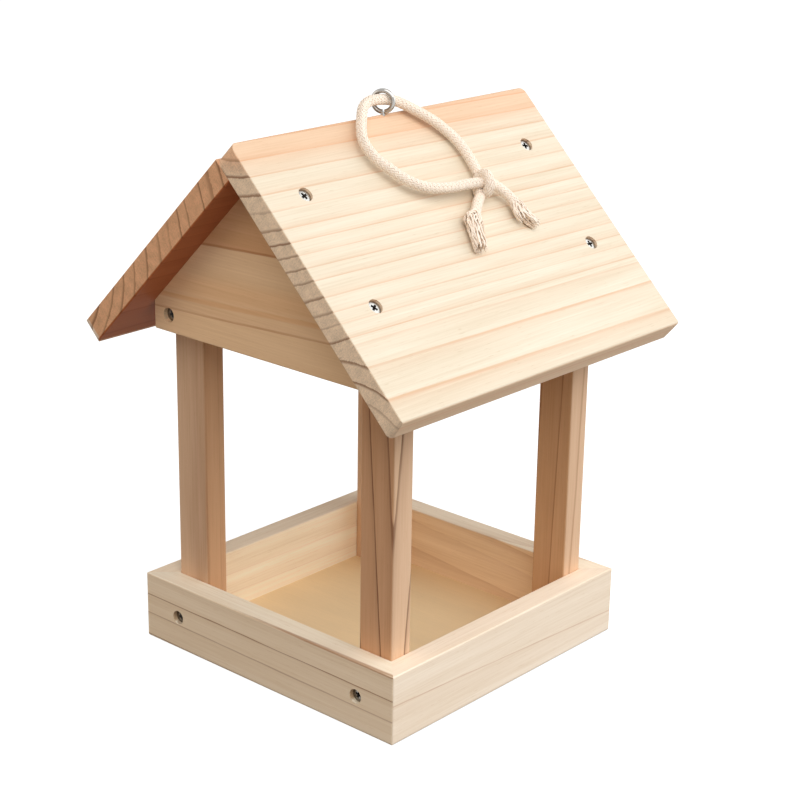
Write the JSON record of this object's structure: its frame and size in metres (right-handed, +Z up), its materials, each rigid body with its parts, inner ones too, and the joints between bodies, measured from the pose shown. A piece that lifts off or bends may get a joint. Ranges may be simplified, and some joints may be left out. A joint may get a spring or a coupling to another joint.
{
  "type": "bird feeder house",
  "caption": "Wooden bird feeder house: mitred seed tray, corner posts, gable boards, lapped pitched roof, and a cotton rope loop through a screw eye on the ridge.",
  "frame": {"origin": "middle of the tray's underside, on the surface the feeder stands on", "axes": "+Z up, +Y along the ridge towards the back gable, +X towards the roof board that laps over the ridge"},
  "size_m": [0.2027, 0.202, 0.2785],
  "materials": {
    "pine_tray": "planed and sanded, bare",
    "pine_post": "planed and sanded, bare",
    "pine_gable": "planed and sanded, bare",
    "pine_roof": "planed and sanded, bare, with sawn end grain",
    "plywood": "smooth rotary-cut veneer, bare",
    "screw_steel": "zinc plated",
    "eye_nickel": "bright nickel plated",
    "cotton_rope": "braided natural cotton"
  },
  "bodies": {
    "house": {"tray_front_wall": "pine_tray", "tray_back_wall": "pine_tray", "tray_left_wall": "pine_tray", "tray_right_wall": "pine_tray", "floor_panel": "plywood", "floor_pins": "screw_steel", "post_front_left": "pine_post", "post_front_right": "pine_post", "post_back_left": "pine_post", "post_back_right": "pine_post", "gable_front": "pine_gable", "gable_back": "pine_gable", "roof_board_right": "pine_roof", "roof_board_left": "pine_roof", "tray_screws_front": "screw_steel", "tray_screws_back": "screw_steel", "gable_screws_front": "screw_steel", "gable_screws_back": "screw_steel", "roof_screws_right": "screw_steel", "roof_screws_left": "screw_steel", "screw_eye": "eye_nickel"},
    "rope_loop": {"hanging_rope": "cotton_rope", "rope_knot": "cotton_rope", "rope_tail_left": "cotton_rope", "rope_tail_right": "cotton_rope"}
  },
  "joints": [
    {"name": "loop_swing", "type": "hinge", "parent": "house", "child": "rope_loop", "pos_m": [0, -0.003, 0.27333], "axis": [0, -1, 0], "range_deg": [0, 260]}
  ]
}
